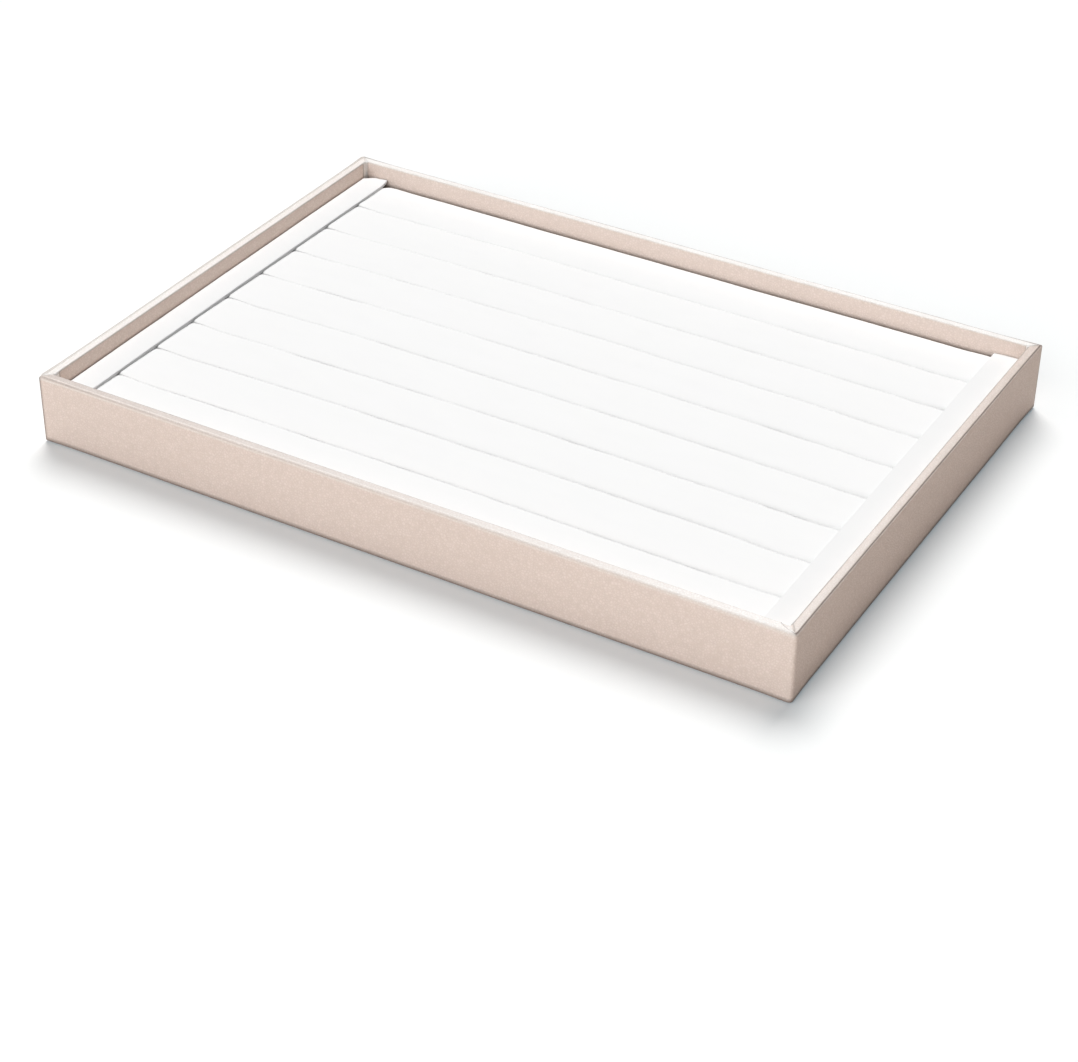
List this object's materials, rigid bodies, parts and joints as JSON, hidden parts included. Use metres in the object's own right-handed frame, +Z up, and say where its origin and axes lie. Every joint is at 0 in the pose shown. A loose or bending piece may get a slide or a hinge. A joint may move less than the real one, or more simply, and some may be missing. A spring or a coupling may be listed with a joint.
{
  "type": "jewelry tray",
  "caption": "Shallow rectangular leatherette-wrapped tray holding a lift-out insert of parallel padded bars, with slots between the bars for rings and earrings.",
  "frame": {"origin": "centre of the tray's footprint, on the surface that it stands on", "axes": "+X to the right along the long side and the bars, +Y to the back, +Z up"},
  "size_m": [0.35, 0.245, 0.032],
  "materials": {
    "fibreboard": "raw",
    "leatherette": "fine grain, satin",
    "floor_liner": "matte paper",
    "bottom_felt": "felt",
    "greyboard": "raw card",
    "foam": "open-cell foam",
    "bar_fabric": "microfibre suede",
    "strip_fabric": "microfibre suede"
  },
  "bodies": {
    "tray": {"base_board": "fibreboard", "floor_liner": "floor_liner", "bottom_felt": "bottom_felt", "front_wall_board": "fibreboard", "back_wall_board": "fibreboard", "left_wall_board": "fibreboard", "right_wall_board": "fibreboard", "front_wrap": "leatherette", "back_wrap": "leatherette", "left_wrap": "leatherette", "right_wrap": "leatherette"},
    "insert": {"insert_card": "greyboard", "bar_core_1": "foam", "bar_core_2": "foam", "bar_core_3": "foam", "bar_core_4": "foam", "bar_core_5": "foam", "bar_core_6": "foam", "bar_core_7": "foam", "bar_core_8": "foam", "bar_core_9": "foam", "bar_cover_1": "bar_fabric", "bar_cover_2": "bar_fabric", "bar_cover_3": "bar_fabric", "bar_cover_4": "bar_fabric", "bar_cover_5": "bar_fabric", "bar_cover_6": "bar_fabric", "bar_cover_7": "bar_fabric", "bar_cover_8": "bar_fabric", "bar_cover_9": "bar_fabric", "left_strip_board": "greyboard", "left_strip_cover": "strip_fabric", "right_strip_board": "greyboard", "right_strip_cover": "strip_fabric"}
  },
  "joints": [
    {"name": "insert_lift", "type": "slide", "parent": "tray", "child": "insert", "axis": [0, 0, 1], "range_m": [0, 0.045]}
  ]
}
